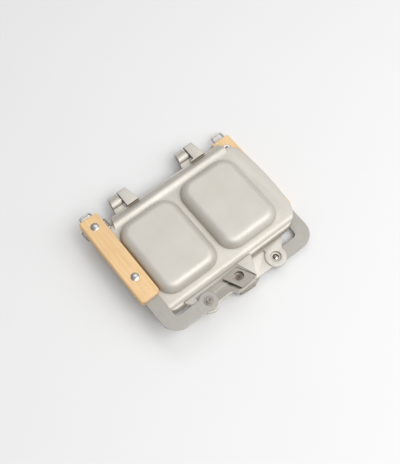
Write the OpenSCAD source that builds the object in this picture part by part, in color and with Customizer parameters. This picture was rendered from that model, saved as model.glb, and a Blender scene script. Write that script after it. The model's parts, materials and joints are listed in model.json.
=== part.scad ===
// Folding hot-sandwich iron: two identical cast halves that hinge together at the
// rear, each with two raised wells, a riveted swing-out arm with a wooden grip,
// a folded sheet bracket that catches the opened arm, and wire loops.
// Upper half: local z points up from the parting plane. The lower half is the same
// set of pieces turned half a turn about the y axis.
// Origin: under the middle of the closed iron, at the height of the lower wells' faces.

/* [Wells] */
// Width of one well where it rises from the flange
well_width = 67.6; // [60:0.2:76]
// Front-to-back length of one well at the flange
well_length = 87.8; // [78:0.2:98]
// Height of a well above the flange
well_height = 10.8; // [10:0.1:13]
// Corner radius of a well at the flange, seen from above
well_corner_r = 17; // [15:0.5:22]
// Radius of the soft edge round a well's top
well_edge_r = 9; // [7:0.2:9.6]
// Lean of a well's sides, in degrees
well_draft = 10; // [6:1:20]
// Gap between the two wells at the flange
well_gap = 6.6; // [6:0.2:12]
// Thickness of the cast wall over a well's hollow
well_wall = 3; // [2:0.1:4]

/* [Flange] */
// Gap between the closed rims of the two halves
rim_gap = 0.3; // [0.2:0.05:0.8]
// Thickness of the flange
flange_t = 6.35; // [5.5:0.05:7.5]
// Flange in front of the wells
front_margin = 12.2; // [11:0.2:16]
// Flat flange behind the wells
rear_margin = 8; // [7.5:0.1:12]
// Flange beside a well at its widest
side_margin = 18; // [16:0.1:22]
// Radius of the front corners
front_corner_r = 23; // [16:0.5:28]
// Radius of the rear corners
rear_corner_r = 15; // [8:0.5:18]
// Radius of the slight outward bow of the sides
bow_r = 300; // [220:5:500]
// Height of the rear bead above the flange
bead_rise = 2.2; // [1:0.1:2.4]
// Width of the rear bead
rear_bead_w = 8.4; // [7:0.1:10]
// Width of the shaped front edge: wall, rim, groove and rise to the flange
front_edge_w = 9.6; // [8.6:0.1:10.6]
// Height where the front wall starts to lean back
front_wall_z = 3.6; // [3:0.1:4.5]
// Half length of the sloping rear strip
strip_half = 74.5; // [72:0.5:78]
// Slant of the strip's cut left end, from the flange back to the lip
strip_slant = 3.7; // [2:0.1:6]
// Run of the rear slope
slope_run = 8.5; // [6:0.1:11]
// Width of the thin rear lip
lip_w = 1.6; // [1.2:0.1:4]
// Thickness of the rear lip
lip_t = 1.3; // [1:0.1:2.5]

/* [Hinge] */
// Distance from the rear lip to the hinge axis
lip_to_axis = 10.6; // [10:0.1:14]
// Radius of the hinge pin
pin_r = 2.5; // [1.5:0.1:3]
// Running clearance round the pin in the knuckle
pin_clear = 0.05; // [0.02:0.01:0.1]
// Radius of the knuckle's round barrel
barrel_r = 4.8; // [4.2:0.1:5]
// Length of the knuckle's barrel
barrel_len = 9.5; // [8:0.5:14]
// Extra width of the knuckle's far side at its foot
knuckle_flare = 3; // [1:0.5:5]
// Extra width of the knuckle's near side at its foot
knuckle_foot = 4.5; // [1:0.5:6]
// Length of that near foot behind the lip
foot_reach = 1.2; // [0.5:0.1:1.6]
// Shift of both blocks' round end behind the axis
end_shift = 1.5; // [0.5:0.1:1.8]
// Length of the bore's empty outer end, beyond the pin
bore_left = 3.5; // [1:0.5:5]
// Height of the hinge blocks above the parting plane
hinge_block_z = 5.1; // [5.1:0.1:5.6]
// Radius of both blocks' round end
end_r = 6.8; // [6:0.1:7]
// Width of the ear at the pin
ear_w = 9.5; // [8:0.5:12]
// Extra width of the ear at its foot
ear_flare = 4; // [1:0.5:5]
// Gap between the ear and the knuckle beside it
ear_gap = 1.5; // [0.8:0.1:3]
// Where the ear starts, from the middle of the iron
ear_x = 32; // [24:0.5:34]
// Wall left at the inner end of the ear's blind bore
ear_end_wall = 1; // [0.8:0.1:3]

/* [Arm mount] */
// Distance of each arm's pivot from the middle of the iron
pivot_x = 42; // [41:0.1:43]
// Distance of the pivot line in front of the flange
pivot_to_flange = 13.3; // [12.6:0.1:16]
// Radius of the round ear that carries the pivot
lug_ear_r = 10.75; // [9.5:0.05:11.5]
// Thickness of the lug strip
lug_t = 2.8; // [2.2:0.1:3]
// Height of the lug strip's outer face above the flange's outer face
lug_over_flange = 2; // [1.6:0.1:2.6]
// Extra thickness of the ear on its inner side
ear_pad = 1.2; // [0.3:0.1:1.4]
// Front edge of the lug strip, in front of the pivot line
strip_front = 6; // [5:0.1:7]
// Depth of the lug's root in the flange's front wall
lug_seat = 1.7; // [1.5:0.1:2.6]
// Width of the root's step in front of that wall
root_w = 0.8; // [0.4:0.1:1.5]
// Overlap of the lug's outer face onto the flange's front
lug_lap = 0.5; // [0.3:0.1:0.8]
// Where the lug's slanted end meets the flange, beyond the pivot
lug_tip = 18; // [15:0.5:24]
// Half width of the middle boss at the flange
boss_half = 20; // [18:0.5:24]
// Radius of the counterbore round the rivet's inner head
counterbore_r = 5.5; // [4:0.1:6.5]
// Depth of that counterbore
counterbore_d = 1.8; // [0.8:0.1:2]

/* [Folded bracket] */
// Thickness of the folded sheet
sheet_t = 1.4; // [1:0.1:1.6]
// Play of the opened arm in the bracket's slot, on its outer face
slot_clear = 0.4; // [0.3:0.05:0.8]
// Direction of the fold's normal, in degrees from the x axis
fold_angle = 26.9; // [22:0.1:31]
// Length of the fold behind the point nearest the opened arm
fold_back = 14; // [12:0.2:16]
// Length of the fold in front of that point
fold_front = 6.7; // [5:0.1:8]
// Reach of the upper leaf away from the fold
leaf_reach = 17; // [14:0.1:18]
// Play between the opened arm's corner and the fold
fold_clear = 0.6; // [0.4:0.1:1.2]
// Drop of the leaf's far corners towards the front
leaf_drop = 1.2; // [0:0.1:2]
// Front edge of the bracket's strip, in front of the pivot line
bracket_front = 5; // [3.5:0.1:6]
// Reach of the strip past the pivot
bracket_tail = 7; // [5:0.1:9]
// Radius of the round window in the leaf
window_r = 4.7; // [3.6:0.1:5]
// Gap between the fold and the boss's raised facet
facet_gap = 1; // [0.5:0.1:1.6]
// Height of the raised facet over the lug strip
facet_rise = 0.7; // [0.3:0.1:1.2]

/* [Bracket screw] */
// Radius of the screw's countersunk head
screw_head_r = 3.2; // [2.8:0.1:3.5]
// Radius of the screw's shank
screw_r = 1.6; // [1.2:0.1:2]
// Length of the shank in the boss
screw_len = 5; // [3:0.5:7]
// Width of each arm of the cross recess
recess_w = 0.8; // [0.5:0.1:1]
// Depth of the cross recess
recess_d = 0.8; // [0.4:0.1:1]

/* [Pivot rivet] */
// Radius of the rivet's shank
rivet_r = 2.2; // [1.6:0.1:2.4]
// Running clearance of the arm round the shank
rivet_clear = 0.05; // [0.02:0.01:0.1]
// Radius of the rivet's inner head
rivet_inner_r = 3.4; // [3:0.1:3.8]
// Radius of the rivet's formed outer head
rivet_outer_r = 2.9; // [2.7:0.1:3.4]
// Height of the formed head above the washer
rivet_outer_h = 0.9; // [0.5:0.1:1.4]
// Radius of the hollow in the formed head
rivet_dimple_r = 1.2; // [0.8:0.1:1.5]
// Radius of the washer
washer_r = 4.6; // [4:0.1:6]
// Thickness of the washer
washer_t = 0.7; // [0.5:0.1:1.2]

/* [Arm] */
// Thickness of the arm's flat bar
arm_t = 1.8; // [1.4:0.1:2.2]
// Sliding gap over and under the arm at its pivot
arm_gap = 0.1; // [0.05:0.01:0.2]
// Width of the arm along the grip
arm_w = 15; // [12:0.5:16]
// Front edge of the arm, in front of the pivot line
arm_front = 7.5; // [6.6:0.1:8.5]
// Rear edge of the arm's front leg, behind the pivot line
arm_rear = 6; // [5:0.1:7]
// Radius of the arm's round end
arm_end_r = 9.3; // [8.6:0.1:10]
// Radius of the arm's outer corner
arm_corner_r = 18; // [14:0.5:18]
// Radius of the arm's inner corner
arm_fillet_r = 4.5; // [2:0.5:8]

/* [Grip] */
// Width of the wooden grip
grip_w = 21.5; // [19:0.5:24]
// Length of the wooden grip
grip_len = 103.5; // [95:0.5:108]
// Gap between the grip's inner side and the well's foot
grip_side_gap = 1.1; // [0.6:0.1:3]
// Distance from the hinge axis to the grip's rear end
grip_rear_set = 4; // [2:0.5:6]
// Gap between the grip and the flange under it
grip_gap = 0.3; // [0.2:0.05:0.8]
// Thickness of the outer wooden scale
scale_t = 4.3; // [3.6:0.1:4.4]
// Rounding of the outer scale's long edges
grip_round = 2.2; // [1:0.1:3]
// Rounding of the inner scale's long edges
grip_round_in = 1; // [0.5:0.1:2]
// Radius of the grip's front corners
grip_front_r = 5; // [2:0.5:8]
// Radius of the grip's rear corners
grip_rear_r = 1.5; // [0.5:0.1:3]
// Radius of the grip rivets' shank
grip_rivet_r = 1.9; // [1.4:0.1:2.4]
// Radius of the grip rivets' domed head
grip_head_r = 4.4; // [3.5:0.1:5]
// Height of the domed head
grip_head_h = 0.9; // [0.5:0.1:0.9]
// Radius of the rolled tail on the inner side
grip_tail_r = 4; // [3:0.1:4.2]
// Depth of the tail's recess in the wood
tail_depth = 1; // [0.6:0.1:1.4]
// Distance of the front rivet from the grip's front end
rivet_front_set = 26; // [20:0.5:34]
// Distance of the rear rivet from the grip's rear end
rivet_rear_set = 11.8; // [11:0.1:13]
// How far the arm's tang stops before the grip's rear end
tang_stop = 4; // [2:0.5:6]

/* [Wire loops] */
// Radius of the hang loop's wire
loop_wire_r = 0.9; // [0.7:0.05:1.1]
// Distance between the hang loop's legs
loop_w = 12; // [10:0.2:14]
// Reach of the hang loop behind the grip
loop_reach = 8.5; // [7:0.5:12]
// Bend radius of the hang loop's corners
loop_bend_r = 2.6; // [1.5:0.1:4]
// Depth of the loop's legs in the wood
loop_depth = 6; // [4:0.5:6.5]
// Radius of the lock bail's wire
bail_wire_r = 0.8; // [0.6:0.05:0.9]
// Bend radius of the bail's corners
bail_bend_r = 1.2; // [1:0.1:2]
// Length of the bail from its pivot to its far bar
bail_len = 13.8; // [13.2:0.1:15]
// Angle of the resting bail below the level, in degrees
bail_droop = 22; // [18:1:26]
// Gap between the grip's outer side and the bail's leg
bail_gap_out = 0.5; // [0.4:0.05:2]
// Gap between the grip's inner side and the bail's other leg
bail_gap_in = 2.6; // [2.2:0.1:3]
// Distance of the bail's pivot from the grip's rear end
bail_set = 17.5; // [17:0.1:18.5]
// Running clearance of the bail's bar in the wood
bail_clear = 0.05; // [0.02:0.01:0.1]

/* [Hidden] */
$fn = 72;

coat = [0.865, 0.85, 0.815];
steel = [0.72, 0.71, 0.69];
leaf_steel = [0.67, 0.65, 0.61];
bright = [0.8, 0.8, 0.8];
wood = [0.92, 0.79, 0.62];

// one overrun for every cut
over = 2;
// degrees by which a well's round top edge runs on past its leaning side
edge_lap = 6;
// how far joined casting shapes sink into each other
sink = 1;

// heights, up from the parting plane
rim_z = rim_gap / 2;
flange_z = rim_z + flange_t;
half_h = flange_z + well_height;
lug_z = flange_z + lug_over_flange;
strip_z0 = lug_z - lug_t;
ear_z0 = strip_z0 - ear_pad;
root_z = strip_z0 + ear_pad / 4;
sheet_z = lug_z + sheet_t;
arm_z = sheet_z + arm_gap;
arm_top = arm_z + arm_t;
leaf_z = arm_top + slot_clear;
washer_z = arm_top + arm_gap;
grip_z = flange_z + grip_gap;
scale_z = arm_top + scale_t;

// places across and along the iron, from the middle of the pivot line
well_x = well_gap / 2 + well_width / 2;
flange_y0 = pivot_to_flange;
lug_y1 = flange_y0 + lug_lap;
well_y = flange_y0 + front_margin + well_length / 2;
flange_y1 = well_y + well_length / 2 + rear_margin;
lip_y = flange_y1 + slope_run + lip_w;
axis_y = lip_y + lip_to_axis;
flange_half = well_x + well_width / 2 + side_margin;
bow_y = (flange_y0 + flange_y1) / 2 + rear_margin / 2;
bow_x = bow_r - flange_half;
block_y0 = lip_y - lip_w / 2;

grip_x = well_x + well_width / 2 + grip_side_gap + grip_w / 2;
grip_y1 = axis_y - grip_rear_set;
grip_y0 = grip_y1 - grip_len;
arm_x1 = grip_x + arm_w / 2;
tang_y = grip_y1 - tang_stop;
rivet_ys = [grip_y0 + rivet_front_set, grip_y1 - rivet_rear_set];

// shape of a well's edge, shared by its outside and its hollow
edge_zc = half_h - well_edge_r;
edge_inset = well_edge_r * cos(well_draft)
    + (edge_zc + well_edge_r * sin(well_draft) - flange_z) * tan(well_draft);

// opened arm's outer corner, and the fold that it stops short of
open_cx = -2 * pivot_x + arm_x1 - arm_corner_r;
open_cy = arm_front - arm_corner_r;
slot_r = (leaf_z - sheet_z) / 2;
slot_mid = (leaf_z + sheet_z) / 2;
arm_mid = arm_z + arm_t / 2;
arm_off = max(arm_top - slot_mid, slot_mid - arm_z);
bend_d = arm_corner_r + fold_clear - sqrt(slot_r * slot_r - arm_off * arm_off);
fold_r = slot_r + sheet_t;
nx = cos(fold_angle);
ny = sin(fold_angle);
// points on the line where the bend starts: t runs along the fold, to the front
function bend_pt(t, d = 0) = [open_cx + (bend_d + d) * nx + t * ny,
    open_cy + (bend_d + d) * ny - t * nx];
pt_a = bend_pt(-fold_back);
pt_b = bend_pt(fold_front);
fold_a = bend_pt(-fold_back, fold_r);
fold_b = bend_pt(fold_front, fold_r);
boss_y0 = fold_b[1];
boss_front = fold_b[0] + facet_gap;
screw_x = (pt_a[0] + pt_b[0]) / 2 - leaf_reach / 2 + leaf_drop;
screw_y = (pt_a[1] + pt_b[1]) / 2 - leaf_drop / 2 + leaf_drop;

bail_z = arm_z - bail_wire_r - arm_gap * 2;
bail_y = grip_y1 - bail_set;
bail_x0 = grip_x + grip_w / 2 + bail_gap_out + bail_wire_r;
bail_x1 = grip_x - grip_w / 2 - bail_gap_in - bail_wire_r;
loop_z = (grip_z + arm_z) / 2;

// middle of the closed iron, front to back
reach_y1 = axis_y + end_shift + end_r;
reach_y0 = -lug_ear_r;
mid_y = (reach_y1 + reach_y0) / 2;

// rear bead's outline as shares of its width and rise, front to back
rear_bead_shares = [[0, 0], [0.16, 0.1], [0.32, 0.38], [0.47, 0.72], [0.61, 0.94],
    [0.73, 1], [0.84, 0.94], [0.94, 0.78]];
// front outline from the wall back to the flat flange, as shares of its width and of
// the height from the wall's lean to the flange
front_shares = [[0, 0], [0.03, 0.28], [0.09, 0.53], [0.19, 0.71], [0.3, 0.74], [0.38, 0.67],
    [0.43, 0.51], [0.48, 0.53], [0.56, 0.74], [0.65, 0.87], [0.76, 0.95], [0.88, 0.99], [1, 1]];
// share of the rear bead that lies before the slope's start
rear_bead_lead = 0.75;
// where the lug's slanted end leaves the round ear, in degrees
tip_angle = 15;
// air between the bail's leg and the cut end of the rear strip
bail_side_air = 2.7;
// points along each side's curves: front corner, bowed side, rear corner
corner_steps = 14;
side_steps = 12;
rear_steps = 10;

// frame placing
module upper_half() {
    translate([0, -mid_y, half_h])
        children();
}

module lower_half() {
    translate([0, -mid_y, half_h])
        rotate([0, 180, 0])
            children();
}

// a plan outline raised between two heights
module slab(z0, z1) {
    translate([0, 0, z0])
        linear_extrude(height = z1 - z0)
            children();
}

// a side outline, drawn as y and z, drawn out along x
module along_x(x0, x1) {
    translate([x0, 0, 0])
        rotate([90, 0, 90])
            linear_extrude(height = x1 - x0)
                children();
}

// wells
// half section from the middle out: soft top edge, then a leaning side
module well_section(hc, er, z_low) {
    foot_x = hc + er * cos(well_draft) + (edge_zc + er * sin(well_draft) - z_low) * tan(well_draft);
    lap = well_draft + edge_lap;
    polygon([[0, z_low], [foot_x, z_low], [hc + er * cos(lap), edge_zc + er * sin(lap)],
        [hc, edge_zc], [hc, edge_zc + er], [0, edge_zc + er]]);
    intersection() {
        translate([hc, edge_zc])
            circle(r = er);
        translate([hc, edge_zc])
            square([2 * er, er]);
    }
}

module well_form(er, z_low) {
    rc = well_corner_r - edge_inset;
    sx = well_width / 2 - well_corner_r;
    sy = well_length / 2 - well_corner_r;
    for (k = [0, 1, 2, 3])
        translate([(k == 0 || k == 3 ? 1 : -1) * sx, (k < 2 ? 1 : -1) * sy, 0])
            rotate([0, 0, 90 * k])
                rotate_extrude(angle = 90)
                    well_section(rc, er, z_low);
    for (m = [0, 1])
        mirror([m, 0, 0])
            rotate([90, 0, 0])
                linear_extrude(height = 2 * sy, center = true)
                    well_section(rc + sx, er, z_low);
    for (m = [0, 1])
        mirror([0, m, 0])
            rotate([90, 0, 90])
                linear_extrude(height = 2 * sx, center = true)
                    well_section(rc + sy, er, z_low);
}

// flange
// each corner's arc runs smoothly into the bowed side
function corner_x(r, yc) = sqrt((bow_r - r) * (bow_r - r) - (yc - bow_y) * (yc - bow_y)) - bow_x;
function side_angle(r, yc) = asin((yc - bow_y) / (bow_r - r));
function arc_pts(c, r, a0, a1, n) = [for (i = [0:n])
    [c[0] + r * cos(a0 + (a1 - a0) * i / n), c[1] + r * sin(a0 + (a1 - a0) * i / n)]];

module flange_plan() {
    yf = flange_y0 + front_corner_r;
    yr = flange_y1 - rear_corner_r;
    af = side_angle(front_corner_r, yf);
    ar = side_angle(rear_corner_r, yr);
    side = arc_pts([-bow_x, bow_y], bow_r, af, ar, side_steps);
    right = concat(
        arc_pts([corner_x(front_corner_r, yf), yf], front_corner_r, -90, af, corner_steps),
        [for (i = [1:len(side) - 2]) side[i]],
        arc_pts([corner_x(rear_corner_r, yr), yr], rear_corner_r, ar, 90, rear_steps));
    polygon(concat(right, [for (i = [len(right) - 1:-1:0]) [-right[i][0], right[i][1]]]));
}

// keeps what lies right of the strip's slanted left end, beside the bail
module cut_end() {
    x0 = -bail_x1 + bail_wire_r + bail_side_air;
    back = lip_y - flange_y1 + sink;
    lead = rear_bead_w;
    intersection() {
        children();
        slab(-over, flange_z + bead_rise + over)
            polygon([[x0 - strip_slant * lead / back, flange_y1 - lead],
                [x0 + strip_slant, flange_y1 + back], [strip_half + over, flange_y1 + back],
                [strip_half + over, flange_y1 - lead]]);
    }
}

module rear_strip() {
    y0 = flange_y1 - sink;
    cut_end()
        along_x(-strip_half, strip_half)
            polygon([[y0, rim_z], [lip_y, rim_z], [lip_y, rim_z + lip_t],
                [lip_y - lip_w, rim_z + lip_t], [flange_y1, flange_z], [y0, flange_z]]);
}

module rear_bead() {
    y0 = flange_y1 - rear_bead_w * rear_bead_lead;
    cut_end()
        along_x(-strip_half, strip_half)
            polygon(concat(
                [for (s = rear_bead_shares) [y0 + s[0] * rear_bead_w, flange_z + s[1] * bead_rise]],
                [[lip_y - lip_w, rim_z + lip_t], [lip_y - lip_w, rim_z + sink / 2],
                [y0, rim_z + sink / 2]]));
}

function front_pt(s) = [flange_y0 + s[0] * front_edge_w,
    front_wall_z + s[1] * (flange_z - front_wall_z)];

// flange, its front edge cut along the front outline
module flange() {
    difference() {
        slab(rim_z, flange_z)
            flange_plan();
        along_x(-flange_half, flange_half)
            polygon(concat([for (s = front_shares) front_pt(s)],
                [[flange_y0 + front_edge_w, flange_z + over], [flange_y0 - over, flange_z + over],
                [flange_y0 - over, front_wall_z]]));
    }
}

// arm mount
module boss_plan() {
    polygon([[-boss_half, lug_y1], [-boss_front, boss_y0], [boss_front, boss_y0],
        [boss_half, lug_y1]]);
}

module facet_plan() {
    polygon([[fold_a[0] + 2 * facet_gap, lug_y1], [boss_front, boss_y0], [boss_half, lug_y1]]);
}

module lug_plan() {
    translate([-pivot_x, -strip_front])
        square([pivot_x, strip_front + lug_y1]);
}

// the lug's end past its round ear, up to the flange
module tip_plan() {
    polygon([[-pivot_x, 0], [-pivot_x - lug_ear_r * cos(tip_angle), lug_ear_r * sin(tip_angle)],
        [-pivot_x - lug_tip, flange_y0 - root_w], [-pivot_x - lug_tip, lug_y1],
        [-pivot_x + lug_ear_r / 2, lug_y1], [-pivot_x + lug_ear_r / 2, 0]]);
}

module lug() {
    slab(strip_z0, lug_z)
        lug_plan();
    slab(ear_z0, lug_z) {
        translate([-pivot_x, 0])
            circle(r = lug_ear_r);
        tip_plan();
    }
    slab(rim_z, lug_z)
        boss_plan();
    slab(rim_z, lug_z + facet_rise)
        facet_plan();
    slab(ear_z0, root_z)
        translate([-pivot_x - lug_tip, flange_y0 - root_w])
            square([pivot_x + lug_tip + boss_half, root_w + lug_seat]);
}

// hinge
// side outline of both blocks: flat outside, round end behind the axis, barrel inside
module block_section() {
    translate([block_y0, rim_z])
        square([axis_y - block_y0, hinge_block_z - rim_z]);
    intersection() {
        translate([axis_y + end_shift, 0])
            circle(r = end_r);
        translate([axis_y, 0])
            square([end_shift + end_r, hinge_block_z]);
    }
    translate([axis_y, 0])
        circle(r = barrel_r);
}

module knuckle() {
    x0 = ear_x + ear_w + ear_gap;
    x1 = x0 + barrel_len;
    intersection() {
        along_x(x0 - knuckle_foot, x1 + knuckle_flare)
            block_section();
        slab(-end_r, end_r)
            polygon([[x0 - knuckle_foot, block_y0], [x0 - knuckle_foot, lip_y], [x0, lip_y + foot_reach],
                [x0, reach_y1], [x1, reach_y1], [x1 + knuckle_flare, block_y0]]);
    }
}

module hinge_ear() {
    x0 = -ear_x - ear_w;
    intersection() {
        along_x(x0, -ear_x + ear_flare)
            block_section();
        slab(-end_r, end_r)
            polygon([[x0, block_y0], [x0, reach_y1], [-ear_x, reach_y1],
                [-ear_x + ear_flare, block_y0]]);
    }
}

module pin_solid(r, x0, x1) {
    along_x(x0, x1)
        translate([axis_y, 0])
            circle(r = r);
}

// one cast half
module plate() {
    difference() {
        union() {
            flange();
            rear_strip();
            rear_bead();
            for (s = [-1, 1])
                translate([s * well_x, well_y, 0])
                    well_form(well_edge_r, flange_z - sink);
            lug();
            knuckle();
            hinge_ear();
        }
        for (s = [-1, 1])
            translate([s * well_x, well_y, 0])
                well_form(well_edge_r - well_wall, -over);
        pin_solid(pin_r + pin_clear, ear_x + ear_w + ear_gap - over,
            ear_x + ear_w + ear_gap + barrel_len + knuckle_flare + over);
        pin_solid(pin_r, -ear_x - ear_w - over, -ear_x - ear_end_wall);
        translate([-pivot_x, 0, ear_z0 - over])
            cylinder(r = counterbore_r, h = over + counterbore_d);
        translate([-pivot_x, 0, ear_z0])
            cylinder(r = rivet_r, h = lug_z - ear_z0 + over);
        translate([screw_x, screw_y, lug_z - screw_len])
            cylinder(r = screw_r, h = screw_len + over);
    }
}

// pressed into the ear, it reaches across the gap into the other half's knuckle
module hinge_pin() {
    pin_solid(pin_r, -ear_x - ear_w - ear_gap - barrel_len + bore_left, -ear_x - ear_end_wall);
}

// folded bracket
module leaf_plan() {
    polygon([pt_a, pt_b, pt_b - [leaf_reach, leaf_drop], pt_a - [leaf_reach, leaf_drop]]);
}

module bracket_plan() {
    polygon([pt_a, pt_b, pt_b - [leaf_reach, leaf_drop], [-boss_half, -bracket_front],
        [-pivot_x - bracket_tail, -bracket_front], [-pivot_x - bracket_tail, pt_a[1]]]);
}

module bracket() {
    difference() {
        union() {
            slab(lug_z, sheet_z)
                bracket_plan();
            slab(leaf_z, leaf_z + sheet_t)
                leaf_plan();
            translate([pt_a[0], pt_a[1], slot_mid])
                rotate([90, 0, fold_angle])
                    linear_extrude(height = fold_back + fold_front)
                        difference() {
                            intersection() {
                                circle(r = fold_r);
                                translate([0, -fold_r])
                                    square([fold_r, 2 * fold_r]);
                            }
                            circle(r = slot_r);
                        }
        }
        translate([screw_x, screw_y, leaf_z - slot_r])
            cylinder(r = window_r, h = slot_r + sheet_t + over);
        translate([screw_x, screw_y, lug_z])
            cylinder(r1 = screw_r, r2 = screw_head_r, h = sheet_t);
        translate([screw_x, screw_y, lug_z - over])
            cylinder(r = screw_r, h = 2 * over);
        translate([-pivot_x, 0, lug_z - over])
            cylinder(r = rivet_r, h = sheet_t + 2 * over);
    }
}

module bracket_screw() {
    difference() {
        union() {
            translate([screw_x, screw_y, lug_z - screw_len])
                cylinder(r = screw_r, h = screw_len);
            translate([screw_x, screw_y, lug_z])
                cylinder(r1 = screw_r, r2 = screw_head_r, h = sheet_t);
        }
        for (q = [0, 90])
            translate([screw_x, screw_y, sheet_z])
                rotate([0, 0, q])
                    cube([screw_head_r, recess_w, 2 * recess_d], center = true);
    }
}

// riveted pivot
module dome(r, h) {
    rs = (r * r + h * h) / (2 * h);
    intersection() {
        translate([0, 0, h - rs])
            sphere(r = rs);
        cylinder(r = r + over, h = h + over);
    }
}

module pivot_rivet() {
    z0 = ear_z0 + counterbore_d;
    translate([-pivot_x, 0, 0])
        difference() {
            union() {
                translate([0, 0, z0])
                    mirror([0, 0, 1])
                        dome(rivet_inner_r, counterbore_d - ear_pad / 2);
                translate([0, 0, z0])
                    cylinder(r = rivet_r, h = washer_z + washer_t - z0);
                translate([0, 0, washer_z + washer_t])
                    cylinder(r = rivet_outer_r, h = rivet_outer_h);
            }
            translate([0, 0, washer_z + washer_t])
                cylinder(r = rivet_dimple_r, h = rivet_outer_h + over);
        }
}

module pivot_washer() {
    translate([-pivot_x, 0, washer_z])
        difference() {
            cylinder(r = washer_r, h = washer_t);
            translate([0, 0, -over])
                cylinder(r = rivet_r, h = washer_t + 2 * over);
        }
}

// arm
module arm_plan() {
    cx = -arm_x1 + arm_corner_r;
    cy = -arm_front + arm_corner_r;
    fx = -arm_x1 + arm_w + arm_fillet_r;
    fy = arm_rear + arm_fillet_r;
    difference() {
        union() {
            translate([-pivot_x, 0])
                circle(r = arm_end_r);
            translate([cx, -arm_front])
                square([-pivot_x - cx, arm_front + arm_rear]);
            intersection() {
                translate([cx, cy])
                    circle(r = arm_corner_r);
                translate([-arm_x1, -arm_front])
                    square([arm_corner_r, arm_corner_r]);
            }
            translate([-arm_x1, cy])
                square([arm_w, tang_y - cy]);
            translate([-arm_x1 + arm_w - sink, arm_rear - sink])
                square([arm_fillet_r + sink, arm_fillet_r + sink]);
        }
        translate([fx, fy])
            circle(r = arm_fillet_r);
        translate([-arm_x1 + arm_w, fy])
            square([arm_corner_r, arm_corner_r]);
    }
}

module arm() {
    difference() {
        slab(arm_z, arm_top)
            arm_plan();
        translate([-pivot_x, 0, arm_z - over])
            cylinder(r = rivet_r + rivet_clear, h = arm_t + 2 * over);
        for (y = rivet_ys)
            translate([-grip_x, y, arm_z - over])
                cylinder(r = grip_rivet_r, h = arm_t + 2 * over);
    }
}

// grip
module grip_plan() {
    x0 = -grip_x - grip_w / 2;
    x1 = -grip_x + grip_w / 2;
    translate([x0, grip_y0 + grip_front_r])
        square([grip_w, grip_len - grip_front_r - grip_rear_r]);
    translate([x0 + grip_front_r, grip_y0])
        square([grip_w - 2 * grip_front_r, grip_front_r]);
    translate([x0 + grip_rear_r, grip_y1 - grip_rear_r])
        square([grip_w - 2 * grip_rear_r, grip_rear_r]);
    for (x = [x0 + grip_front_r, x1 - grip_front_r])
        translate([x, grip_y0 + grip_front_r])
            circle(r = grip_front_r);
    for (x = [x0 + grip_rear_r, x1 - grip_rear_r])
        translate([x, grip_y1 - grip_rear_r])
            circle(r = grip_rear_r);
}

// end view of a scale: square where it meets the arm, rounded at height z1
module scale_section(z0, z1, r) {
    s = z1 > z0 ? 1 : -1;
    zr = z1 - s * r;
    translate([-grip_w / 2, min(z0, zr)])
        square([grip_w, abs(zr - z0)]);
    translate([-grip_w / 2 + r, min(z1, zr)])
        square([grip_w - 2 * r, r]);
    for (q = [-1, 1])
        translate([q * (grip_w / 2 - r), zr])
            circle(r = r);
}

module scale_body(z0, z1, r) {
    intersection() {
        translate([-grip_x, grip_y1 + over, 0])
            rotate([90, 0, 0])
                linear_extrude(height = grip_len + 2 * over)
                    scale_section(z0, z1, r);
        slab(min(z0, z1), max(z0, z1))
            grip_plan();
    }
}

module grip_outer() {
    difference() {
        scale_body(arm_top, scale_z, grip_round);
        for (y = rivet_ys)
            translate([-grip_x, y, arm_top - over])
                cylinder(r = grip_rivet_r, h = scale_t + 2 * over);
    }
}

module grip_inner() {
    difference() {
        scale_body(arm_z, grip_z, grip_round_in);
        for (y = rivet_ys)
            translate([-grip_x, y, grip_z - over]) {
                cylinder(r = grip_rivet_r, h = arm_z - grip_z + 2 * over);
                cylinder(r = grip_tail_r + rivet_clear, h = over + tail_depth);
            }
        translate([-grip_x - grip_w / 2 - over, bail_y, bail_z])
            rotate([0, 90, 0])
                cylinder(r = bail_wire_r + bail_clear, h = grip_w + 2 * over);
        for (s = [-1, 1])
            translate([-grip_x + s * loop_w / 2, grip_y1 - loop_depth, loop_z])
                rotate([-90, 0, 0])
                    cylinder(r = loop_wire_r, h = loop_depth + over);
    }
}

module grip_rivets() {
    for (y = rivet_ys)
        translate([-grip_x, y, 0])
            difference() {
                union() {
                    translate([0, 0, scale_z])
                        dome(grip_head_r, grip_head_h);
                    translate([0, 0, grip_z + tail_depth])
                        cylinder(r = grip_rivet_r, h = scale_z - grip_z - tail_depth);
                    translate([0, 0, grip_z + rivet_clear])
                        cylinder(r = grip_tail_r, h = tail_depth - rivet_clear);
                }
                translate([0, 0, grip_z - over])
                    cylinder(r = grip_rivet_r - bail_wire_r / 2, h = over + 3 * tail_depth);
            }
}

// wires
module wire_run(r, length) {
    rotate([-90, 0, 0])
        cylinder(r = r, h = length);
}

// quarter bend in plan, from heading +y to heading +x
module wire_bend(r, bend) {
    translate([bend, 0, 0])
        rotate([0, 0, 90])
            rotate_extrude(angle = 90)
                translate([bend, 0])
                    circle(r = r);
}

module hang_loop() {
    run = loop_depth + loop_reach - loop_wire_r - loop_bend_r;
    translate([-grip_x, grip_y1 - loop_depth, loop_z]) {
        for (m = [0, 1])
            mirror([m, 0, 0])
                translate([-loop_w / 2, 0, 0]) {
                    wire_run(loop_wire_r, run);
                    translate([0, run, 0])
                        wire_bend(loop_wire_r, loop_bend_r);
                }
        translate([-loop_w / 2 + loop_bend_r, run + loop_bend_r, 0])
            rotate([0, 90, 0])
                cylinder(r = loop_wire_r, h = loop_w - 2 * loop_bend_r);
    }
}

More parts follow.
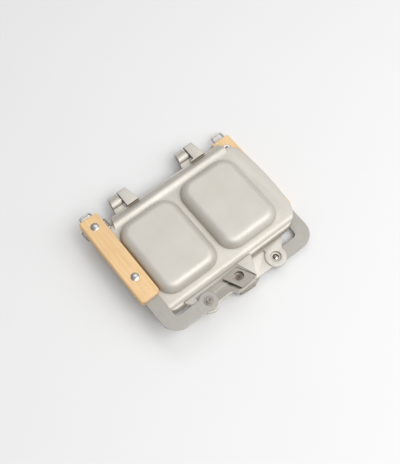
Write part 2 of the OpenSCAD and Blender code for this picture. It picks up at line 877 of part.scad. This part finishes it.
// closed ring: one short bar turns in the wood, the legs pass the grip's sides
module bail() {
    w = bail_x0 - bail_x1;
    run = bail_len - 2 * bail_bend_r;
    translate([-(bail_x0 + bail_x1) / 2, bail_y, bail_z])
        rotate([-bail_droop, 0, 0]) {
            for (m = [0, 1])
                mirror([m, 0, 0])
                    translate([-w / 2, bail_bend_r, 0]) {
                        wire_run(bail_wire_r, run);
                        translate([0, run, 0])
                            wire_bend(bail_wire_r, bail_bend_r);
                        mirror([0, 1, 0])
                            wire_bend(bail_wire_r, bail_bend_r);
                    }
            for (y = [0, bail_len])
                translate([-w / 2 + bail_bend_r, y, 0])
                    rotate([0, 90, 0])
                        cylinder(r = bail_wire_r, h = w - 2 * bail_bend_r);
        }
}

// nodes
module lower_plate() {
    color(coat) lower_half() plate();
}

module upper_plate() {
    color(coat) upper_half() plate();
}

module left_hinge_pin() {
    color(bright) upper_half() hinge_pin();
}

module right_hinge_pin() {
    color(bright) lower_half() hinge_pin();
}

module lower_bracket() {
    color(leaf_steel) lower_half() bracket();
}

module upper_bracket() {
    color(leaf_steel) upper_half() bracket();
}

module lower_bracket_screw() {
    color(bright) lower_half() bracket_screw();
}

module upper_bracket_screw() {
    color(bright) upper_half() bracket_screw();
}

module lower_pivot_rivet() {
    color(bright) lower_half() pivot_rivet();
}

module upper_pivot_rivet() {
    color(bright) upper_half() pivot_rivet();
}

module lower_pivot_washer() {
    color(steel) lower_half() pivot_washer();
}

module upper_pivot_washer() {
    color(steel) upper_half() pivot_washer();
}

module lower_arm() {
    color(steel) lower_half() arm();
}

module upper_arm() {
    color(steel) upper_half() arm();
}

module lower_grip_outer() {
    color(wood) lower_half() grip_outer();
}

module lower_grip_inner() {
    color(wood) lower_half() grip_inner();
}

module upper_grip_outer() {
    color(wood) upper_half() grip_outer();
}

module upper_grip_inner() {
    color(wood) upper_half() grip_inner();
}

module lower_grip_rivets() {
    color(bright) lower_half() grip_rivets();
}

module upper_grip_rivets() {
    color(bright) upper_half() grip_rivets();
}

module lower_hang_loop() {
    color(bright) lower_half() hang_loop();
}

module upper_hang_loop() {
    color(bright) upper_half() hang_loop();
}

module lock_bail() {
    color(bright) upper_half() bail();
}

lower_plate();
upper_plate();
left_hinge_pin();
right_hinge_pin();
lower_bracket();
upper_bracket();
lower_bracket_screw();
upper_bracket_screw();
lower_pivot_rivet();
upper_pivot_rivet();
lower_pivot_washer();
upper_pivot_washer();
lower_arm();
upper_arm();
lower_grip_outer();
lower_grip_inner();
upper_grip_outer();
upper_grip_inner();
lower_grip_rivets();
upper_grip_rivets();
lower_hang_loop();
upper_hang_loop();
lock_bail();
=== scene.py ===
import json
import math
import bmesh
import bpy
from mathutils import Matrix, Vector

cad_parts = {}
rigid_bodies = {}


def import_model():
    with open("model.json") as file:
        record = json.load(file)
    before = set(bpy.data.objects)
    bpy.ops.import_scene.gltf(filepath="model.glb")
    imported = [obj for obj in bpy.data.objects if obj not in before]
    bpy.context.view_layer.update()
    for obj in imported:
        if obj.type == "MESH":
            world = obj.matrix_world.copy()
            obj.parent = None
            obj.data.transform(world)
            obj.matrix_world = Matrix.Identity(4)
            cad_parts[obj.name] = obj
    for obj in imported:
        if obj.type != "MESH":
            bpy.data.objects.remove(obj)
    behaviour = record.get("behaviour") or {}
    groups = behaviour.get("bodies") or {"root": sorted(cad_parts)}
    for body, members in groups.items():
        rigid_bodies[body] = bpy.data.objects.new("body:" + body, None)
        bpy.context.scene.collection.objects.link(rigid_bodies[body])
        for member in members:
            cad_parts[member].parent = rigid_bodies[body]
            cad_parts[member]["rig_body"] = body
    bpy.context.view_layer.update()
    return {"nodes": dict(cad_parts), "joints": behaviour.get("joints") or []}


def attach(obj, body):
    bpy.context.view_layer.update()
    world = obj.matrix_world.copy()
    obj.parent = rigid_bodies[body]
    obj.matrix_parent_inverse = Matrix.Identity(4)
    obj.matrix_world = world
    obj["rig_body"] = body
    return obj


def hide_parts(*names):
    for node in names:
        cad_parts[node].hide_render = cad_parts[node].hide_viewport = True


# the folding sandwich iron: each CAD solid gets rounded edges and a material, and then come the
# camera and the light; lengths are in metres and angles in degrees, unless a comment says otherwise
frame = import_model()
NODES = frame["nodes"]
JOINT_PLACES = {joint["name"]: joint["pos_m"] for joint in frame["joints"]}
PARTING_Z = JOINT_PLACES["lid_hinge"][2]
PIVOT_Y = JOINT_PLACES["upper_handle_pivot"][1]

# camera, found by fitting a pinhole camera to the corners and edges of the iron in the picture:
# where it stands, seen from the point midway between the two handle pivots, and its lens
AZIMUTH, ELEVATION = -38.25, 65.47
DISTANCE, SHIFT_RIGHT, SHIFT_UP = 0.75518, -0.04128, 0.04539
FOCAL_PX, PICTURE_PX = 786.75, 464
SENSOR_MM = 36.0
CLIP_NEAR, CLIP_FAR = 0.05, 20.0

# floor, sky and lamps; a lamp is its name, place, the side of its square, and power in watts
FLOOR_HALF = 3.0
SKY = 0.39
LAMP_AIM = (0.0, 0.0, 0.01)
LAMPS = (
    ("front", (0.0, -1.0, 1.73), 1.3, 21.4),
    ("low", (1.16, -1.16, 1.14), 1.2, 7.2),
    ("right", (0.85, -0.5, 1.74), 1.2, 9.0),
    ("back", (0.6, 0.85, 1.72), 1.0, 4.8),
)

# the shade painted on the plates' outer walls: each pair says where this painted shade starts to
# fade and where it is gone, by the upward part of the surface's direction, the height from the
# parting plane, and the distance from WALL_MID_Y, which leaves out the front lugs
WALL_TILT = (0.3, 0.6)
WALL_HEIGHT = (0.0058, 0.0068)
WALL_MID_Y = 0.04
WALL_DEPTH = (0.0985, 0.0995)

# how near the plate's own surface comes in a crease, where shade is painted
CREASE_REACH = 0.004

# the stretch of 0 to 1 that a noise mostly fills, and how much lighter a steel's clouds get
NOISE_LOW, NOISE_HIGH = 0.3, 0.7
CLOUD_LIFT = 1.06

# for rounded edges: how near points are merged, below which angle faces are joined, and from
# which angle an edge is rounded or drawn sharp
MERGE = 2e-6
JOIN_ANGLE, ROUND_ANGLE, SHARP_ANGLE = 0.6, 28.0, 24.0


def srgb(r, g, b):
    """A colour written as screen values, 0 to 255, as the linear values that a shader takes."""
    def linear(c):
        c /= 255.0
        return c / 12.92 if c <= 0.04045 else ((c + 0.055) / 1.055) ** 2.4
    return (linear(r), linear(g), linear(b), 1.0)


WHITE = srgb(255, 255, 255)


def add(name, data):
    """A new object in the scene."""
    obj = bpy.data.objects.new(name, data)
    bpy.context.scene.collection.objects.link(obj)
    return obj


# material helpers
class Mat:
    """A node material, with short calls for the nodes used here."""

    def __init__(self, name):
        self.material = bpy.data.materials.new(name)
        self.material.use_nodes = True
        self.tree = self.material.node_tree
        self.tree.nodes.clear()
        self.shader = self.node("ShaderNodeBsdfPrincipled")
        self.link(self.shader.outputs[0], self.node("ShaderNodeOutputMaterial").inputs[0])
        place = self.node("ShaderNodeTexCoord")
        self.co = place.outputs["Object"]
        self.normal = place.outputs["Normal"]

    def link(self, output, into):
        self.tree.links.new(output, into)

    def node(self, kind, **values):
        """A new node; values sets its own settings, and its inputs by their names."""
        n = self.tree.nodes.new(kind)
        for name, value in values.items():
            if hasattr(n, name):
                setattr(n, name, value)
            else:
                n.inputs[name.replace("_", " ")].default_value = value
        return n

    def scaled(self, scale, turn=0.0):
        """The place on the object, stretched along each axis and turned about z in radians."""
        n = self.node("ShaderNodeMapping", Scale=scale, Rotation=(0, 0, turn))
        self.link(self.co, n.inputs["Vector"])
        return n.outputs[0]

    def noise(self, co, scale=1.0, detail=2.0, rough=0.5, distortion=0.0):
        n = self.node("ShaderNodeTexNoise", Scale=scale, Detail=detail, Roughness=rough,
                      Distortion=distortion)
        self.link(co, n.inputs["Vector"])
        return n.outputs["Fac"]

    def openness(self, reach):
        """1 on open surfaces, and less where the same piece comes nearer than reach; used to paint
        shade into creases.
        """
        n = self.node("ShaderNodeAmbientOcclusion", samples=8, only_local=True, Distance=reach)
        return n.outputs["AO"]

    def ramp(self, value, *stops):
        """Colours along value; each stop is a place from 0 to 1 and a colour."""
        n = self.node("ShaderNodeValToRGB")
        elements = n.color_ramp.elements
        while len(elements) < len(stops):
            elements.new(0.5)
        for element, (position, color) in zip(elements, stops):
            element.position = position
            element.color = color
        self.link(value, n.inputs["Fac"])
        return n.outputs["Color"]

    def remap(self, value, start, end, at_start, at_end):
        """at_start where value is start or less, at_end where it is end or more."""
        n = self.node("ShaderNodeMapRange", From_Min=start, From_Max=end, To_Min=at_start,
                      To_Max=at_end)
        self.link(value, n.inputs["Value"])
        return n.outputs["Result"]

    def feed(self, terms, inputs):
        """Gives each input its term, which is another node's output or a plain value."""
        for term, into in zip(terms, inputs):
            if isinstance(term, bpy.types.NodeSocket):
                self.link(term, into)
            else:
                into.default_value = term

    def combine(self, operation, *terms):
        n = self.node("ShaderNodeMath", operation=operation)
        self.feed(terms, n.inputs)
        return n.outputs[0]

    def along(self, axis, co, zero=0.0):
        """One coordinate of co, measured from zero."""
        n = self.node("ShaderNodeSeparateXYZ")
        self.link(co, n.inputs[0])
        return self.combine("SUBTRACT", n.outputs[axis], zero)

    def fade(self, value, near, far):
        """1 where the size of value is under near, 0 where it is over far."""
        return self.remap(self.combine("ABSOLUTE", value), near, far, 1.0, 0.0)

    def mix(self, amount, a, b, blend="MIX"):
        """Two colours mixed; the node has sockets of other kinds too, which are off."""
        n = self.node("ShaderNodeMix", data_type="RGBA", blend_type=blend)
        self.feed((amount, a, b), [i for i in n.inputs if i.enabled])
        return [o for o in n.outputs if o.enabled][0]

    def shade(self, base, tone, amount=1.0):
        """base darkened by tone."""
        return self.mix(amount, base, tone, "MULTIPLY")

    def color(self, value):
        self.link(value, self.shader.inputs["Base Color"])

    def rough(self, noise, low, high):
        """Roughness from low to high along a noise."""
        self.link(self.remap(noise, NOISE_LOW, NOISE_HIGH, low, high),
                  self.shader.inputs["Roughness"])

    def put(self, name, value):
        self.shader.inputs[name].default_value = value

    def bump(self, height, depth, strength, edge):
        """Relief of this depth, over edges that look rounded to the radius edge."""
        bevel = self.node("ShaderNodeBevel", samples=4, Radius=edge)
        n = self.node("ShaderNodeBump", Strength=strength, Distance=depth)
        self.link(height, n.inputs["Height"])
        self.link(bevel.outputs[0], n.inputs["Normal"])
        self.link(n.outputs[0], self.shader.inputs["Normal"])


# materials
def painted_wall_shade(m):
    """Where shade is painted on the plates: 1 on their upright outer walls, beside the parting
    plane, and 0 elsewhere.
    """
    upright = m.fade(m.along("Z", m.normal), *WALL_TILT)
    near_parting = m.fade(m.along("Z", m.co, PARTING_Z), *WALL_HEIGHT)
    behind_lugs = m.fade(m.along("Y", m.co, WALL_MID_Y), *WALL_DEPTH)
    return m.combine("MULTIPLY", m.combine("MULTIPLY", upright, near_parting), behind_lugs)


def coated_cast():
    """Cast aluminium under a warm grey satin coating, very finely grained, with shade painted on
    its outer walls and in its creases.
    """
    m = Mat("coated_cast")
    broad = m.noise(m.co, scale=35.0, detail=3.0, rough=0.55)
    fine = m.noise(m.co, scale=2600.0, detail=2.0, rough=0.6)
    base = m.ramp(broad, (0.35, srgb(207, 203, 195)), (0.65, srgb(212, 208, 201)))
    # painted shade: the upright outer walls beside the parting plane are made darker, as if less
    # lit
    base = m.mix(painted_wall_shade(m), base, srgb(168, 161, 150))
    # painted shade: darker in the creases, where the plate's own surface comes near
    crease_shade = m.ramp(m.openness(CREASE_REACH), (0.45, srgb(196, 190, 179)), (0.9, WHITE))
    fleck = m.ramp(fine, (0.38, srgb(236, 234, 230)), (0.62, WHITE))
    m.color(m.shade(m.shade(base, crease_shade), fleck))
    m.rough(m.noise(m.co, scale=60.0, detail=3.0), 0.48, 0.54)
    m.put("Metallic", 0.42)
    m.bump(fine, depth=0.00003, strength=0.5, edge=0.0009)
    return m.material


def satin_steel(name, tint, rough, turn=0.0):
    """Stainless sheet with a fine lengthwise grain."""
    m = Mat(name)
    grain = m.noise(m.scaled((3000, 110, 3000), turn), detail=3.0, rough=0.6)
    cloud = m.noise(m.co, scale=45.0, detail=3.0, rough=0.6)
    dark = srgb(*tint)
    light = tuple(min(1.0, c * CLOUD_LIFT) for c in dark)
    base = m.ramp(cloud, (0.3, dark), (0.7, light))
    line = m.ramp(grain, (0.3, srgb(232, 231, 229)), (0.7, WHITE))
    m.color(m.shade(base, line))
    m.rough(grain, *rough)
    m.put("Metallic", 1.0)
    m.bump(grain, depth=0.00001, strength=0.35, edge=0.0004)
    return m.material


def polished_steel(name, dark, light, rough):
    """Bright or dark steel, slightly smeared."""
    m = Mat(name)
    smear = m.noise(m.co, scale=900.0, detail=3.0, rough=0.6)
    m.color(m.ramp(smear, (0.3, srgb(*dark)), (0.7, srgb(*light))))
    m.rough(smear, *rough)
    m.put("Metallic", 1.0)
    m.bump(smear, depth=0.00001, strength=0.3, edge=0.00025)
    return m.material


def light_wood():
    """Pale straight-grained wood, its strands running along the grip (y)."""
    m = Mat("light_wood")
    strands = m.noise(m.scaled((420, 7, 420)), detail=4.0, rough=0.6, distortion=0.15)
    pores = m.noise(m.scaled((2600, 60, 2600)))
    cloud = m.noise(m.scaled((90, 22, 90)))
    base = m.ramp(strands, (0.25, srgb(222, 182, 130)), (0.5, srgb(233, 198, 150)),
                  (0.75, srgb(238, 206, 162)))
    tone = m.ramp(cloud, (0.3, srgb(244, 241, 235)), (0.7, WHITE))
    pore = m.ramp(pores, (0.3, srgb(206, 190, 168)), (0.42, WHITE))
    m.color(m.shade(m.shade(base, tone), pore, amount=0.5))
    m.rough(pores, 0.62, 0.5)
    m.bump(pores, depth=0.00005, strength=0.4, edge=0.0005)
    return m.material


# camera, floor and light
def make_camera():
    az, el = math.radians(AZIMUTH), math.radians(ELEVATION)
    back = Vector((math.sin(az) * math.cos(el), -math.cos(az) * math.cos(el), math.sin(el)))
    right = Vector((math.cos(az), math.sin(az), 0))
    up = back.cross(right)
    start = Vector((0, PIVOT_Y, PARTING_Z))
    place = start + right * SHIFT_RIGHT + up * SHIFT_UP + back * DISTANCE
    data = bpy.data.cameras.new("camera")
    data.sensor_fit = "VERTICAL"
    data.sensor_height = SENSOR_MM
    data.lens = FOCAL_PX / PICTURE_PX * SENSOR_MM
    data.clip_start, data.clip_end = CLIP_NEAR, CLIP_FAR
    camera = add("camera", data)
    turn = Matrix((right, up, back)).transposed()
    camera.matrix_world = Matrix.Translation(place) @ turn.to_4x4()
    bpy.context.scene.camera = camera


def make_floor():
    m = Mat("floor")
    cloud = m.noise(m.co, scale=6.0)
    m.color(m.ramp(cloud, (0.3, srgb(226, 226, 226)), (0.7, srgb(227, 227, 227))))
    m.put("Roughness", 0.9)
    signs = ((-1, -1), (1, -1), (1, 1), (-1, 1))
    mesh = bpy.data.meshes.new("floor")
    mesh.from_pydata([(x * FLOOR_HALF, y * FLOOR_HALF, 0) for x, y in signs], [], [(0, 1, 2, 3)])
    mesh.materials.append(m.material)
    add("floor", mesh)


def make_sky():
    world = bpy.data.worlds.new("world")
    bpy.context.scene.world = world
    world.use_nodes = True
    tree = world.node_tree
    tree.nodes.clear()
    background = tree.nodes.new("ShaderNodeBackground")
    background.inputs["Color"].default_value = WHITE
    background.inputs["Strength"].default_value = SKY
    out = tree.nodes.new("ShaderNodeOutputWorld")
    tree.links.new(background.outputs[0], out.inputs[0])


def make_lamp(name, place, side, power):
    data = bpy.data.lights.new(name, "AREA")
    data.shape = "SQUARE"
    data.size = side
    data.energy = power
    lamp = add(name, data)
    lamp.location = place
    towards = Vector(LAMP_AIM) - Vector(place)
    lamp.rotation_euler = towards.to_track_quat("-Z", "Y").to_euler()


# pieces
def soften(node, width, segments):
    """A copy of a CAD solid with its hard edges slightly rounded, which replaces it."""
    solid = NODES[node]
    bm = bmesh.new()
    bm.from_mesh(solid.data)
    bmesh.ops.remove_doubles(bm, verts=bm.verts, dist=MERGE)
    bmesh.ops.dissolve_degenerate(bm, dist=MERGE, edges=bm.edges)
    bmesh.ops.dissolve_limit(bm, angle_limit=math.radians(JOIN_ANGLE), verts=bm.verts,
                             edges=bm.edges)
    mesh = bpy.data.meshes.new(node + "_body")
    bm.to_mesh(mesh)
    bm.free()
    piece = add(node + "_body", mesh)
    edge = piece.modifiers.new("edge", "BEVEL")
    edge.width = width
    edge.segments = segments
    edge.limit_method = "ANGLE"
    edge.angle_limit = math.radians(ROUND_ANGLE)
    edge.miter_outer = "MITER_ARC"
    graph = bpy.context.evaluated_depsgraph_get()
    rounded = bpy.data.meshes.new_from_object(piece.evaluated_get(graph))
    piece.modifiers.clear()
    piece.data = rounded
    rounded.shade_smooth()
    rounded.set_sharp_from_angle(angle=math.radians(SHARP_ANGLE))
    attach(piece, solid["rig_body"])
    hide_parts(node)
    return piece


def dress(node, material, width, segments=2):
    """Replaces a CAD solid by its rounded copy, in this material."""
    piece = soften(node, width, segments)
    piece.data.materials.append(material)


def make_pieces():
    cast = coated_cast()
    sheet = satin_steel("satin_steel", (183, 180, 174), (0.5, 0.58))
    leaf = satin_steel("leaf_steel", (164, 159, 151), (0.34, 0.42), turn=0.5)
    bright = polished_steel("polished_steel", (178, 175, 170), (206, 203, 198), (0.24, 0.34))
    wire = polished_steel("wire_steel", (168, 165, 160), (198, 196, 192), (0.22, 0.32))
    # painted shade: the bracket screw, sunk under the leaf's window, is dark brown for the shade in
    # that hole
    screw = polished_steel("screw_steel_painted_shade", (98, 86, 78), (130, 116, 106), (0.25, 0.35))
    # painted shade: the pivot rivets are darkened to stand for the shade in the hollows of their
    # heads
    rivet = polished_steel("rivet_steel_painted_shade", (136, 128, 122), (168, 160, 153), (0.14, 0.2))
    wood = light_wood()
    for half in ("lower", "upper"):
        dress(f"{half}_plate", cast, width=0.0007, segments=3)
        dress(f"{half}_bracket", leaf, width=0.00018)
        dress(f"{half}_arm", sheet, width=0.0003)
        dress(f"{half}_pivot_washer", leaf, width=0.00015)
        dress(f"{half}_pivot_rivet", rivet, width=0.00025)
        dress(f"{half}_bracket_screw", screw, width=0.0001)
        dress(f"{half}_grip_rivets", bright, width=0.00025)
        dress(f"{half}_grip_outer", wood, width=0.001, segments=3)
        dress(f"{half}_grip_inner", wood, width=0.0006)
        dress(f"{half}_hang_loop", wire, width=0.0001)
    for side in ("left", "right"):
        dress(f"{side}_hinge_pin", bright, width=0.0003)
    dress("lock_bail", wire, width=0.0001)


make_camera()
make_floor()
make_sky()
for values in LAMPS:
    make_lamp(*values)
make_pieces()

bpy.context.scene.view_settings.view_transform = "Standard"
